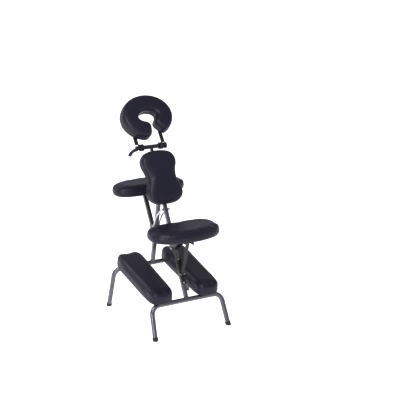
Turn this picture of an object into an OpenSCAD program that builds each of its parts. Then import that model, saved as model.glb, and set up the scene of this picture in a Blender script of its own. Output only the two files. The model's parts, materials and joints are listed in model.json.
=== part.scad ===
// Kneeling massage chair: folding steel frame, seat, knee pads, chest pad, armrest and face cradle.
// X runs across the chair, +Y points away from the sitter's back, Z is up, and the floor is Z = 0.
// The sitter faces +Y. The origin is on the floor, midway along the chair's whole depth.

/* [Rear leg frame] */
// Distance between the feet of the rear frame, centre to centre
rear_foot_span = 462; // [400:2:520]
// Width of the rear frame at its crossbar corners
rear_bar_span = 438; // [380:2:500]
// Height of the rear crossbar's centre
rear_bar_z = 173; // [140:1:210]
// How far the rear feet stand behind the crossbar
rear_foot_back = 72; // [40:1:100]

/* [Front leg frame] */
// Distance between the feet of the front frame, centre to centre
front_foot_span = 526; // [500:2:580]
// Width of the front frame at its crossbar corners
front_bar_span = 494; // [480:2:560]
// Height of the front crossbar's centre
front_bar_z = 252; // [220:1:300]
// Distance from the rear crossbar to the front crossbar
bar_gap = 445; // [400:1:490]
// How far the front feet stand in front of the crossbar
front_foot_out = 65; // [30:1:90]

/* [Tubes] */
// Diameter of the leg tubes
leg_d = 28; // [22:0.5:30]
// Radius of the bends in the leg tubes, at the tube's centre
leg_bend_r = 52; // [40:1:70]
// Wall of every steel tube
tube_wall = 1.5; // [1:0.1:2]
// Side of the square column and struts
tube_side = 22; // [20:0.5:28]
// Corner radius of the square tubes
tube_corner = 2.2; // [1.6:0.1:3.5]
// Diameter of the rubber feet
foot_d = 32; // [27:0.5:34]
// Length of tube that a rubber foot covers
foot_cover = 12; // [8:1:30]

/* [Column] */
// Lean of the column from upright
column_tilt = 29.05; // [26:0.05:32]
// Length of the column
column_len = 860; // [840:5:900]
// Distance up the column to the front frame's hinge
fold_hinge_s = 632; // [600:1:660]
// Distance of that hinge in front of the column's centre line
fold_hinge_out = 32; // [30:0.5:36]

/* [Stay links and arm strut] */
// Distance up the column to the links' bolt
link_bolt_s = 528; // [500:1:560]
// Distance down the front strut from its hinge to the arm strut's pivot
arm_pivot_drop = 288; // [260:1:310]
// Lean of the arm strut from upright
arm_tilt = 31.5; // [28:0.5:38]
// Distance from the arm strut's pivot to its top hinge
arm_len = 272; // [240:1:300]
// Distance from the arm strut's pivot to the links' lower bolts
link_foot_reach = 72; // [60:1:90]
// Angle of the links' lower bolts back from the arm strut's line
link_foot_back = 47; // [35:1:55]
// Rise of the links' curve above a straight line
link_rise = 20; // [10:1:30]
// Width of a link
link_w = 10; // [8:0.5:16]
// Thickness of the link, fork and seat plates
plate_t = 3; // [2:0.5:4]

/* [Seat] */
// Width of the seat pad
seat_w = 412; // [380:5:480]
// Depth of the seat pad's body
seat_d = 226; // [210:5:270]
// How far the seat's side lobes reach forward
seat_lobe = 36; // [10:2:50]
// Thickness of the seat cushion
seat_t = 47; // [45:1:80]
// Height of the seat cushion's top
seat_top_z = 597; // [570:1:620]
// Centre of the seat pad in front of the rear crossbar
seat_y = 16; // [-10:1:40]
// Distance up the column to the seat's hinge
seat_hinge_s = 300; // [270:1:330]
// Distance up the column to the notch that the prop rests in
prop_notch_s = 143; // [130:1:170]

/* [Knee pads] */
// Distance between the centres of the two knee pads
knee_span = 290; // [270:1:300]
// Length of a knee pad
knee_len = 506; // [480:5:560]
// Width of a knee pad at its high end
knee_w_high = 164; // [140:2:165]
// Width of a knee pad at its low end
knee_w_low = 142; // [120:2:150]
// How far both knee pads are set towards the left
knee_shift = 14; // [0:1:20]
// Thickness of a knee cushion
knee_t = 57; // [40:1:64]
// How far a knee pad reaches past the rear crossbar
knee_past = 26; // [15:1:40]

/* [Chest pad] */
// Length of the chest pad
chest_len = 306; // [280:2:340]
// Width of the chest pad's lobes
chest_w = 239; // [200:2:250]
// Narrowing at the chest pad's waist
chest_waist = 0.31; // [0.1:0.01:0.36]
// Thickness of the chest cushion
chest_t = 46; // [36:1:60]
// Distance up the column to the chest pad's centre
chest_s = 711; // [700:1:730]

/* [Armrest] */
// Width of the armrest pad
armrest_w = 438; // [380:5:460]
// Depth of the armrest pad's body
armrest_d = 200; // [180:5:230]
// How far the armrest's ends reach back towards the sitter
armrest_lobe = 34; // [10:2:50]
// Thickness of the armrest cushion
armrest_t = 46; // [40:1:60]
// Height of the armrest cushion's top
armrest_top_z = 745; // [735:1:770]
// Centre of the armrest pad in front of the rear crossbar
armrest_y = 500; // [480:1:520]

/* [Face cradle] */
// Distance up the column's line to the cradle's crossbar
cradle_bar_s = 908; // [900:1:930]
// Lean of the face cradle from upright
cradle_tilt = 38; // [30:1:60]
// Diameter of the cradle's crossbar
cradle_bar_d = 24; // [18:1:26]
// Width of the face cushion
face_w = 312; // [280:5:320]
// Length of the face cushion
face_len = 262; // [226:2:280]
// Width of the face cushion's ring
face_ring = 92; // [80:1:100]
// Opening between the ends of the face cushion
face_gap = 54; // [30:1:80]
// How far round the ring the gap sits from the bottom, in degrees
face_gap_turn = 9; // [0:1:14]
// Thickness of the face cushion
face_t = 62; // [50:1:75]
// Distance from the cradle's crossbar to the face cushion's lower edge
face_rise = 41; // [34:1:80]
// Turn of the face cushion on its arms, which takes its open end to the right
face_roll = 8; // [0:1:12]
// How far the face cushion sits to the right of the middle
face_shift = 9; // [0:1:12]

/* [Boards and fasteners] */
// Thickness of the plywood boards
board_t = 9; // [6:1:12]
// Share of a pad's outline that its board fills
board_share = 0.88; // [0.8:0.01:0.94]
// Diameter of the pivot bolts
bolt_d = 8; // [6:0.5:10]
// Gap all round a pivot bolt in its hole
bolt_gap = 0.05; // [0.02:0.01:0.1]
// Gap between parts that slide or turn past each other
slide_gap = 0.4; // [0.3:0.05:0.8]

/* [Hidden] */
$fn = 48;
cradle_arm_t = 6;

// The chair's furthest places back and forward, measured from the rear crossbar.
depth_back = seat_y - seat_d / 2;
cradle_reach = (face_rise + face_len - 7) * sin(cradle_tilt) - cradle_arm_t / 2 * cos(cradle_tilt);
depth_front = max(armrest_y + armrest_d / 2, cradle_bar_s * sin(column_tilt) + cradle_reach);
rear_bar_y = -(depth_back + depth_front) / 2;
front_bar_y = rear_bar_y + bar_gap;

// A point at distance s up the column and distance out in front of its centre line, as [y, z].
function on_column(s, out) = [
    rear_bar_y + s * sin(column_tilt) + out * cos(column_tilt),
    rear_bar_z + s * cos(column_tilt) - out * sin(column_tilt)];

// A point at distance d along a direction that leans forward by tilt, as [y, z].
function along(start, tilt, d) = [start[0] + d * sin(tilt), start[1] + d * cos(tilt)];

fold_hinge = on_column(fold_hinge_s, fold_hinge_out);
link_top = on_column(link_bolt_s, 0);
seat_hinge = on_column(seat_hinge_s, 0);
cradle_bar_at = on_column(cradle_bar_s, 0);
strut_run = [front_bar_y - fold_hinge[0], fold_hinge[1] - front_bar_z];
strut_tilt = -atan2(strut_run[0], strut_run[1]);
strut_len = norm(strut_run);
arm_pivot = along(fold_hinge, strut_tilt, -arm_pivot_drop);
arm_top = along(arm_pivot, arm_tilt, arm_len);
link_foot = along(arm_pivot, arm_tilt - link_foot_back, link_foot_reach);
side_x = tube_side / 2;
fork_x = side_x + 0.5;
link_x = fork_x + plate_t + 1;
foot_sole = 6;
bolt_r = bolt_d / 2;
hole_r = bolt_r + bolt_gap;
nut_r = bolt_d * 0.85;
nut_t = bolt_d * 0.65;
seat_under_z = seat_top_z - seat_t - board_t;
seat_mid_y = rear_bar_y + seat_y;
armrest_mid_y = rear_bar_y + armrest_y;
armrest_under_z = armrest_top_z - armrest_t - board_t;
knee_slope = atan2(front_bar_z - rear_bar_z, bar_gap);
knee_clamp_t = 5;
knee_rest_t = 5;
prop_foot = on_column(prop_notch_s, -side_x - 10);
prop_top = [seat_mid_y - 36, seat_under_z - 17];
prop_run = [prop_foot[0] - prop_top[0], prop_top[1] - prop_foot[1]];
prop_len = norm(prop_run);
prop_tilt = -atan2(prop_run[0], prop_run[1]);
rosette_t = 11;
rosette_r = 20;
arm_x = 80;

// ---- Shared shapes ----

// A rod along X, centred on its place.
module rod_x(r, len) {
    rotate([0, 90, 0]) cylinder(r = r, h = len, center = true);
}

// A disc along X from x_near to x_far.
module disc_x(r, x_near, x_far) {
    translate([x_near, 0, 0]) rotate([0, 90, 0]) cylinder(r = r, h = x_far - x_near);
}

// A hexagon nut along X from x_near to x_far.
module nut_x(r, x_near, x_far) {
    translate([x_near, 0, 0]) rotate([0, 90, 0]) cylinder(r = r, h = x_far - x_near, $fn = 6);
}

// A screw with a round head, pointing up, its head's underside at Z = 0.
module wood_screw(len, r = 2) {
    translate([0, 0, -2.2]) cylinder(r = r * 2.2, h = 2.2, $fn = 24);
    cylinder(r = r, h = len, $fn = 24);
}

// The hole a wood_screw of that length passes through.
module screw_hole(len, r = 2) {
    translate([0, 0, -1]) cylinder(r = r + bolt_gap, h = len + 2, $fn = 24);
}

// A square with round corners, centred.
module round_square(side_a, side_b, r) {
    square([side_a - 2 * r, side_b], center = true);
    square([side_a, side_b - 2 * r], center = true);
    for (sx = [-1, 1]) {
        for (sy = [-1, 1]) {
            translate([sx * (side_a / 2 - r), sy * (side_b / 2 - r)]) circle(r = r, $fn = 24);
        }
    }
}

// A square steel tube along +Z from its place.
module square_tube(side, len) {
    linear_extrude(len) difference() {
        round_square(side, side, tube_corner);
        round_square(side - 2 * tube_wall, side - 2 * tube_wall, tube_corner - tube_wall / 2);
    }
}

// Frames of reference: each puts its children at a pivot, with +Z along the member.
module at_yz(p, tilt = 0) {
    translate([0, p[0], p[1]]) rotate([-tilt, 0, 0]) children();
}

module at_column(s = 0) {
    at_yz(on_column(s, 0), column_tilt) children();
}

module at_strut() {
    at_yz(fold_hinge, strut_tilt) children();
}

module at_arm() {
    at_yz(arm_pivot, arm_tilt) children();
}

module at_cradle() {
    at_yz(cradle_bar_at, cradle_tilt) children();
}

// Superellipse coordinate, from -1 to 1.
function squash(v, n) = sign(v) * pow(abs(v), 2 / n);

// Kidney outline: a rounded oblong whose ends bend towards +Y by lobe.
function kidney(w, d, lobe, n = 2.7, count = 72) = [
    for (i = [0 : count - 1])
        let (a = i * 360 / count, u = squash(cos(a), n))
        [w / 2 * u, d / 2 * squash(sin(a), n) + lobe * u * u * (1 - abs(u) / 2)]];

// Hourglass outline with its length along Y.
function hourglass(w, len, waist, n = 3.2, count = 72) = [
    for (i = [0 : count - 1])
        let (a = i * 360 / count, v = squash(sin(a), n))
        [w / 2 * squash(cos(a), n) * (1 - waist * exp(-pow(v / 0.48, 2))), len / 2 * v]];

// Tapered oblong with round corners, its length along Y.
function tapered(w_low, w_high, len, n = 5.5, count = 64) = [
    for (i = [0 : count - 1])
        let (a = i * 360 / count, v = squash(sin(a), n))
        [(w_low + (w_high - w_low) * (v + 1) / 2) / 2 * squash(cos(a), n), len / 2 * v]];

// Horseshoe outline, open towards -Y, with round ends. The gap is measured between the ends.
function horseshoe(w, len, ring, gap, turn, steps = 40, cap = 8) =
    let (a = (w - ring) / 2, b = (len - ring) / 2, half = ring / 2,
        open = asin((gap / 2 + cap_reach * half) / a))
    concat(
        [for (i = [0 : steps])
            let (t = turn - 90 + open + i * (360 - 2 * open) / steps, k = unit([b * cos(t), a * sin(t)]))
            [a * cos(t) + half * k[0], b * sin(t) + half * k[1]]],
        [for (i = [1 : cap - 1])
            let (t = turn + 270 - open, k = unit([b * cos(t), a * sin(t)]), q = square_end(i * 180 / cap))
            [a * cos(t) + half * (k[0] * q[0] - k[1] * q[1]), b * sin(t) + half * (k[1] * q[0] + k[0] * q[1])]],
        [for (i = [0 : steps])
            let (t = turn + 270 - open - i * (360 - 2 * open) / steps, k = unit([b * cos(t), a * sin(t)]))
            [a * cos(t) - half * k[0], b * sin(t) - half * k[1]]],
        [for (i = [1 : cap - 1])
            let (t = turn - 90 + open, k = unit([b * cos(t), a * sin(t)]), q = square_end(180 + i * 180 / cap))
            [a * cos(t) + half * (k[0] * q[0] - k[1] * q[1]), b * sin(t) + half * (k[1] * q[0] + k[0] * q[1])]]);

// A point on the end of a lobe: a half circle made squarer and shorter.
cap_reach = 0.7;
function square_end(q) =
    [sign(cos(q)) * pow(abs(cos(q)), 0.6), cap_reach * sign(sin(q)) * pow(abs(sin(q)), 0.6)];

function unit(v) = v / norm(v);

// ---- Leg frames ----

// Section through a leg tube, or through a seam that stands proud of it by grow.
module tube_ring(grow = 0) {
    difference() {
        circle(d = leg_d + 2 * grow);
        circle(d = leg_d - 2 * tube_wall - 2 * grow);
    }
}

// Narrow ring that joins two pieces of tube end to end.
module tube_seam() {
    linear_extrude(2, center = true) tube_ring(0.25);
}

function leg_splay(bar_span, foot_span, leg_len) = atan2((foot_span - bar_span) / 2, leg_len);

// A bent tube frame in its own plane: a crossbar centred on the place and two legs going down.
module leg_tube(bar_span, foot_span, leg_len) {
    splay = leg_splay(bar_span, foot_span, leg_len);
    turn = 90 - splay;
    trim = leg_bend_r * tan(turn / 2);
    straight = bar_span - 2 * trim;
    leg = leg_len / cos(splay) - trim;
    rotate([0, 90, 0]) linear_extrude(straight, center = true) tube_ring();
    for (side = [0, 1]) {
        mirror([side, 0, 0]) translate([straight / 2, 0, -leg_bend_r]) {
            translate([0, 0, leg_bend_r]) rotate([0, 90, 0]) tube_seam();
            rotate([90, 0, 0]) rotate([0, 0, splay]) rotate_extrude(angle = turn)
                translate([leg_bend_r, 0]) tube_ring();
            rotate([0, -splay, 0]) translate([leg_bend_r, 0, 0]) {
                tube_seam();
                translate([0, 0, -leg]) linear_extrude(leg) tube_ring();
            }
        }
    }
}

module leg_frame(y, z, bar_span, foot_span, foot_run) {
    at_yz([y, z], atan2(foot_run, z))
        leg_tube(bar_span, foot_span, norm([foot_run, z]) - foot_sole);
}

// Rubber foot over the end of a leg, cut flat by the floor.
module rubber_foot(y, z, bar_span, foot_span, foot_run, side) {
    lean = atan2(foot_run, z);
    full = norm([foot_run, z]);
    splay = leg_splay(bar_span, foot_span, full - foot_sole);
    sleeve_r = leg_d / 2 + bolt_gap;
    color([0.05, 0.05, 0.05]) intersection() {
        at_yz([y, z], lean) translate([side * bar_span / 2, 0, 0]) rotate([0, -side * splay, 0])
            translate([0, 0, -full / cos(splay)]) difference() {
                translate([0, 0, -20]) cylinder(r = foot_d / 2, h = 20 + foot_sole + foot_cover);
                translate([0, 0, foot_sole]) cylinder(r = sleeve_r, h = foot_cover + 1);
            }
        translate([0, y, 250]) cube([800, 800, 500], center = true);
    }
}

module rear_leg_frame() {
    color([0.36, 0.36, 0.38])
        leg_frame(rear_bar_y, rear_bar_z, rear_bar_span, rear_foot_span, rear_foot_back);
}

module rear_foot_left() {
    rubber_foot(rear_bar_y, rear_bar_z, rear_bar_span, rear_foot_span, rear_foot_back, -1);
}

module rear_foot_right() {
    rubber_foot(rear_bar_y, rear_bar_z, rear_bar_span, rear_foot_span, rear_foot_back, 1);
}

module front_leg_frame() {
    color([0.36, 0.36, 0.38])
        leg_frame(front_bar_y, front_bar_z, front_bar_span, front_foot_span, -front_foot_out);
}

module front_foot_left() {
    rubber_foot(front_bar_y, front_bar_z, front_bar_span, front_foot_span, -front_foot_out, -1);
}

module front_foot_right() {
    rubber_foot(front_bar_y, front_bar_z, front_bar_span, front_foot_span, -front_foot_out, 1);
}

// ---- Column and hinges ----

stem_side = tube_side - 2 * tube_wall - 3;
stem_knob_s = column_len - 26;
collar_t = 5;

module main_column() {
    color([0.33, 0.33, 0.35]) difference() {
        at_column() square_tube(tube_side, column_len);
        translate([0, rear_bar_y, rear_bar_z]) rod_x(leg_d / 2, tube_side * 2);
        at_column(link_bolt_s) rod_x(hole_r, tube_side * 2);
        at_column(seat_hinge_s) rod_x(hole_r, tube_side * 2);
        at_column(stem_knob_s) rotate([-90, 0, 0]) cylinder(r = 5 + bolt_gap, h = tube_side);
    }
}

// Plastic guide in the column's mouth that the cradle stem slides through.
module column_collar() {
    inside = tube_side - 2 * tube_wall - 2 * bolt_gap;
    color([0.06, 0.06, 0.07]) at_column(column_len) difference() {
        union() {
            linear_extrude(collar_t) round_square(tube_side + 3, tube_side + 3, 3);
            translate([0, 0, -18]) linear_extrude(19) round_square(inside, inside, 1.6);
        }
        translate([0, 0, -19]) linear_extrude(26)
            round_square(stem_side + 2 * slide_gap, stem_side + 2 * slide_gap, 1.5);
    }
}

// Bracket on the column's front face that the front strut hangs from.
module fold_hinge_ears() {
    web_y = side_x;
    color([0.33, 0.33, 0.35]) difference() {
        union() {
            at_column(fold_hinge_s) translate([0, web_y + plate_t / 2, 0])
                cube([2 * (fork_x + plate_t), plate_t, 34], center = true);
            for (side = [-1, 1]) {
                at_column(fold_hinge_s) {
                    translate([side * (fork_x + plate_t / 2), (web_y + fold_hinge_out) / 2, 0])
                        cube([plate_t, fold_hinge_out - web_y, 34], center = true);
                    translate([side * (fork_x + plate_t / 2), fold_hinge_out, 0]) rod_x(17, plate_t);
                }
            }
        }
        at_yz(fold_hinge) rod_x(hole_r, tube_side * 3);
    }
}

module fold_hinge_bolt() {
    head_x = fork_x + plate_t + slide_gap;
    color([0.75, 0.75, 0.77]) at_yz(fold_hinge) {
        rod_x(bolt_r, 2 * head_x);
        disc_x(nut_r, head_x, head_x + nut_t);
        nut_x(nut_r, -head_x - nut_t, -head_x);
    }
}

module front_strut() {
    color([0.33, 0.33, 0.35]) difference() {
        at_strut() translate([0, 0, -strut_len]) square_tube(tube_side, strut_len + 10);
        translate([0, front_bar_y, front_bar_z]) rod_x(leg_d / 2, tube_side * 2);
        at_yz(fold_hinge) rod_x(bolt_r, tube_side * 2);
        at_yz(arm_pivot) rod_x(bolt_r, tube_side * 2);
    }
}

// ---- Arm strut and stay links ----

fork_web = 44;

module arm_pivot_bolt() {
    head_x = fork_x + plate_t + slide_gap;
    color([0.75, 0.75, 0.77]) at_yz(arm_pivot) {
        rod_x(bolt_r, 2 * head_x);
        disc_x(nut_r, head_x, head_x + nut_t);
        nut_x(nut_r, -head_x - nut_t, -head_x);
    }
}

// One side of the fork: a flat plate with lobes at the pivot, the link bolt and the strut.
module fork_side(x_near) {
    reach = [link_foot_reach * sin(-link_foot_back), link_foot_reach * cos(link_foot_back)];
    translate([x_near, 0, 0]) rotate([90, 0, 90]) linear_extrude(plate_t) {
        circle(r = 13);
        translate(reach) circle(r = 11);
        translate([-side_x, 0]) square([tube_side, fork_web + 34]);
        polygon([[-8, -10], [8, 6], [side_x, fork_web + 30], [-side_x, fork_web + 34],
            [reach[0] - 6, reach[1] + 9], [reach[0] - 10, reach[1] - 4]]);
    }
}

module arm_fork() {
    color([0.2, 0.2, 0.21]) difference() {
        at_arm() {
            fork_side(fork_x);
            fork_side(-fork_x - plate_t);
            translate([0, 0, fork_web + 2]) cube([2 * fork_x + plate_t, tube_side, 4], center = true);
        }
        at_yz(arm_pivot) rod_x(hole_r, tube_side * 3);
        at_yz(link_foot) rod_x(hole_r, tube_side * 3);
    }
}

module arm_strut() {
    start = fork_web + 4;
    color([0.2, 0.2, 0.21]) difference() {
        at_arm() translate([0, 0, start]) square_tube(tube_side, arm_len + 10 - start);
        at_yz(arm_top) rod_x(bolt_r, tube_side * 2);
    }
}

// Flat curved strip along an arc of radius bow, starting at the place and heading along +X.
module bowed_strip(bow, sweep, w) {
    far = bow * 3;
    translate([0, -bow]) intersection() {
        difference() {
            circle(r = bow + w / 2, $fn = 240);
            circle(r = bow - w / 2, $fn = 240);
        }
        polygon([[0, 0], [0, far], [far * tan(sweep / 2), far], [far * sin(sweep), far * cos(sweep)]]);
    }
}

// A curved strap from the column's bolt to the fork.
module stay_link(x_near) {
    chord = link_foot - link_top;
    span = norm(chord);
    dip = atan2(-chord[1], chord[0]);
    bow = (span * span / 4 + link_rise * link_rise) / (2 * link_rise);
    sweep = 2 * asin(span / 2 / bow);
    color([0.78, 0.78, 0.8]) translate([x_near, link_top[0], link_top[1]]) rotate([90, 0, 90])
        linear_extrude(plate_t) rotate([0, 0, -dip]) difference() {
            union() {
                rotate([0, 0, sweep / 2]) bowed_strip(bow, sweep, link_w);
                circle(r = link_w * 0.75);
                translate([span, 0]) circle(r = link_w * 0.75);
            }
            circle(r = hole_r);
            translate([span, 0]) circle(r = hole_r);
        }
}

module stay_link_left() {
    stay_link(-link_x - plate_t);
}

module stay_link_right() {
    stay_link(link_x);
}

module link_top_bolt() {
    head_x = link_x + plate_t + slide_gap;
    color([0.8, 0.8, 0.82]) at_yz(link_top) {
        rod_x(bolt_r, 2 * head_x);
        for (side = [0, 1]) {
            mirror([side, 0, 0]) disc_x(bolt_r + 3, side_x, link_x - slide_gap);
        }
        disc_x(nut_r, head_x, head_x + nut_t);
        nut_x(nut_r, -head_x - nut_t, -head_x);
    }
}

// Two short bolts, one on each link's lower end.
module link_foot_bolts() {
    color([0.8, 0.8, 0.82]) at_yz(link_foot) {
        for (side = [0, 1]) {
            mirror([side, 0, 0]) {
                disc_x(bolt_r, link_x - 0.6, link_x + plate_t + 0.1);
                disc_x(nut_r, link_x + plate_t, link_x + plate_t + nut_t);
            }
        }
    }
}

// ---- Armrest ----

armrest_ear_x = side_x + slide_gap;
armrest_plate_l = 130;

module armrest_hinge_bolt() {
    head_x = armrest_ear_x + plate_t + 0.2;
    color([0.75, 0.75, 0.77]) at_yz(arm_top) {
        rod_x(bolt_r, 2 * head_x);
        disc_x(nut_r, head_x, head_x + nut_t);
        nut_x(nut_r, -head_x - nut_t, -head_x);
    }
}

module armrest_bracket() {
    plate_z = armrest_under_z - plate_t;
    ear_h = plate_z - arm_top[1];
    color([0.2, 0.2, 0.21]) difference() {
        union() {
            translate([-45, armrest_mid_y - 55, plate_z]) cube([90, armrest_plate_l, plate_t]);
            for (side = [-1, 1]) {
                at_yz(arm_top) translate([side * (armrest_ear_x + plate_t / 2), 0, 0]) {
                    rod_x(15, plate_t);
                    translate([0, 0, ear_h / 2 + 0.5]) cube([plate_t, 30, ear_h + 1], center = true);
                }
            }
        }
        at_yz(arm_top) rod_x(hole_r, tube_side * 3);
        armrest_screw_places() screw_hole(plate_t);
    }
}

module armrest_outline(share = 1) {
    mirror([0, 1, 0]) scale([share, share])
        polygon(kidney(armrest_w, armrest_d, armrest_lobe));
}

module armrest_board() {
    color([0.7, 0.56, 0.38]) translate([0, armrest_mid_y, armrest_under_z])
        linear_extrude(board_t) armrest_outline(board_share);
}

module armrest_pad() {
    color([0.1, 0.1, 0.12]) translate([0, armrest_mid_y, armrest_under_z + board_t])
        linear_extrude(armrest_t) armrest_outline();
}

module armrest_screw_places() {
    for (x = [-33, 33]) {
        for (y = [-43, 63]) {
            translate([x, armrest_mid_y + y, armrest_under_z - plate_t]) children();
        }
    }
}

module armrest_screws() {
    color([0.75, 0.75, 0.77]) armrest_screw_places() wood_screw(plate_t);
}

// ---- Chest pad ----

sleeve_t = 2;
sleeve_len = 76;
sleeve_out = side_x + slide_gap + sleeve_t;
chest_knob_s = chest_s + 30;

module chest_sleeve() {
    inside = tube_side + 2 * slide_gap;
    color([0.2, 0.2, 0.21]) difference() {
        at_column(chest_s + 30) {
            translate([0, 0, -sleeve_len / 2]) linear_extrude(sleeve_len)
                round_square(2 * sleeve_out, 2 * sleeve_out, 3);
            translate([0, sleeve_out - 0.5, 0]) rotate([-90, 0, 0]) cylinder(r = 9, h = 8);
        }
        at_column(chest_s - 60) linear_extrude(sleeve_len + 120) round_square(inside, inside, 2.4);
        at_column(chest_knob_s) rotate([-90, 0, 0]) cylinder(r = 4 + bolt_gap, h = 40);
    }
}

// A hand knob with six lobes on a screw, pointing along +Z from its seat.
module hand_knob(screw_r, screw_len, knob_r, knob_t) {
    translate([0, 0, -screw_len]) cylinder(r = screw_r, h = screw_len + 2);
    cylinder(r = knob_r * 0.6, h = 4);
    translate([0, 0, 4]) difference() {
        cylinder(r = knob_r, h = knob_t);
        for (i = [0 : 5]) {
            rotate([0, 0, i * 60]) translate([knob_r * 1.12, 0, -1]) cylinder(r = knob_r * 0.28, h = knob_t + 2);
        }
    }
}

module chest_knob() {
    color([0.05, 0.05, 0.05]) at_column(chest_knob_s) translate([0, sleeve_out + 7.7, 0])
        rotate([-90, 0, 0]) hand_knob(4, 9.8, 17, 14);
}

module chest_plate() {
    color([0.2, 0.2, 0.21]) difference() {
        at_column(chest_s) translate([0, -sleeve_out - plate_t / 2, 0])
            cube([70, plate_t, 190], center = true);
        chest_screw_places() screw_hole(plate_t);
    }
}

// Chest outline standing in the column's frame, its thickness towards the sitter.
module chest_slab(from_y, t, share = 1) {
    at_column(chest_s) translate([0, -from_y, 0]) rotate([90, 0, 0])
        linear_extrude(t) scale([share, share]) polygon(hourglass(chest_w, chest_len, chest_waist));
}

module chest_board() {
    color([0.7, 0.56, 0.38]) chest_slab(sleeve_out + plate_t, board_t, board_share);
}

module chest_pad() {
    color([0.1, 0.1, 0.12]) chest_slab(sleeve_out + plate_t + board_t, chest_t);
}

module chest_screw_places() {
    for (x = [-27, 27]) {
        for (s = [-84, 84]) {
            at_column(chest_s + s) translate([x, -sleeve_out, 0]) rotate([90, 0, 0]) children();
        }
    }
}

module chest_screws() {
    color([0.75, 0.75, 0.77]) chest_screw_places() wood_screw(plate_t);
}

// ---- Face cradle ----

stem_len = 170;
bar_half = 50;
cradle_arm_w = 22;

module cradle_stem() {
    color([0.2, 0.2, 0.21]) difference() {
        at_column(cradle_bar_s - stem_len) square_tube(stem_side, stem_len);
        at_yz(cradle_bar_at) rod_x(cradle_bar_d / 2, 60);
    }
}

module cradle_bar() {
    color([0.1, 0.1, 0.1]) difference() {
        at_yz(cradle_bar_at) rod_x(cradle_bar_d / 2, 2 * bar_half);
        at_yz(cradle_bar_at) rod_x(6, 2 * bar_half + 2);
    }
}

// A toothed disc along X, its teeth standing on the face at x_far.
module rosette(x_near, x_far) {
    teeth = 18;
    difference() {
        disc_x(rosette_r, x_near, x_far);
        for (i = [0 : teeth - 1]) {
            rotate([i * 360 / teeth, 0, 0]) translate([x_near - 1, rosette_r + 0.6, 0])
                rotate([45, 0, 0]) cube([x_far - x_near + 2, 2, 2]);
        }
        disc_x(5.4, x_near - 1, x_far + 1);
    }
}

module bar_rosettes() {
    color([0.04, 0.04, 0.04]) at_yz(cradle_bar_at) {
        for (side = [0, 1]) {
            mirror([side, 0, 0]) rosette(bar_half, bar_half + rosette_t);
        }
    }
}

module arm_rosettes() {
    near = bar_half + rosette_t + slide_gap;
    color([0.04, 0.04, 0.04]) at_yz(cradle_bar_at) {
        for (side = [0, 1]) {
            mirror([side, 0, 0]) rosette(near, near + rosette_t);
        }
    }
}

module cradle_rod() {
    reach = bar_half + 2 * rosette_t + slide_gap + cradle_arm_t;
    color([0.75, 0.75, 0.77]) at_yz(cradle_bar_at) {
        disc_x(5, -reach - 20, reach + 16);
    }
}

arm_base_x = bar_half + 2 * rosette_t + slide_gap;
arm_rise = 178;

// A flat arm: an eye on the rod, a step outwards and a bar that runs up behind the board.
module cradle_arm() {
    difference() {
        union() {
            disc_x(13, arm_base_x, arm_base_x + cradle_arm_t);
            translate([arm_base_x, -cradle_arm_t / 2, 0])
                cube([cradle_arm_w, cradle_arm_t, arm_rise]);
        }
        disc_x(5 + bolt_gap, arm_base_x - 1, arm_base_x + cradle_arm_t + 1);
        translate([arm_base_x + cradle_arm_t, -20, -1]) cube([40, 40, 22]);
        cradle_screw_places(1) screw_hole(cradle_arm_t);
    }
}

module cradle_arm_left() {
    color([0.06, 0.06, 0.06]) at_cradle() mirror([1, 0, 0]) cradle_arm();
}

module cradle_arm_right() {
    color([0.06, 0.06, 0.06]) at_cradle() cradle_arm();
}

// Horseshoe slab in the cradle's plane, its thickness towards the sitter.
module face_slab(from_y, t, inset = 0) {
    at_cradle() translate([face_shift, -from_y, face_rise + face_len / 2]) rotate([90, 0, 0])
        rotate([0, 0, face_roll]) linear_extrude(t)
        polygon(horseshoe(face_w - inset, face_len - inset, face_ring - inset, face_gap + inset,
            face_gap_turn));
}

module cradle_board() {
    color([0.78, 0.7, 0.55]) face_slab(cradle_arm_t / 2, board_t, 14);
}

module face_cushion() {
    color([0.1, 0.1, 0.12]) face_slab(cradle_arm_t / 2 + board_t, face_t);
}

module cradle_screw_places(side) {
    for (d = [72, 150]) {
        translate([side * (arm_base_x + cradle_arm_w / 2), cradle_arm_t / 2, d]) rotate([90, 0, 0]) children();
    }
}

module cradle_screws() {
    color([0.75, 0.75, 0.77]) at_cradle() {
        cradle_screw_places(-1) wood_screw(cradle_arm_t);
        cradle_screw_places(1) wood_screw(cradle_arm_t);
    }
}

// Curved lever on the left end of the rod: it runs outwards and bends down.
module clamp_lever() {
    start = arm_base_x + cradle_arm_t + 1;
    bow = 66;
    color([0.05, 0.05, 0.05]) at_yz(cradle_bar_at, column_tilt) mirror([1, 0, 0]) difference() {
        union() {
            disc_x(12, start, start + 18);
            translate([start + 9, 10, -8.5]) rotate([90, 0, 0]) linear_extrude(20)
                bowed_strip(bow, 58, 17);
        }
        disc_x(5 + bolt_gap, start - 1, start + 30);
    }
}

module cradle_end_knob() {
    start = arm_base_x + cradle_arm_t + 1;
    color([0.05, 0.05, 0.05]) at_yz(cradle_bar_at) difference() {
        union() {
            disc_x(11, start, start + 4);
            disc_x(18, start + 4, start + 17);
        }
        disc_x(5 + bolt_gap, start - 1, start + 30);
        for (i = [0 : 7]) {
            rotate([i * 45, 0, 0]) translate([0, 19.4, 0]) disc_x(3, start + 3, start + 18);
        }
    }
}

module stem_knob() {
    color([0.05, 0.05, 0.05]) at_column(stem_knob_s) translate([0, side_x + 0.4, 0]) rotate([-90, 0, 0])
        hand_knob(5, side_x + 0.4 - stem_side / 2 - 0.2, 17, 14);
}

// ---- Seat ----

seat_plate_x = link_x;
seat_plate_l = 190;

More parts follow.
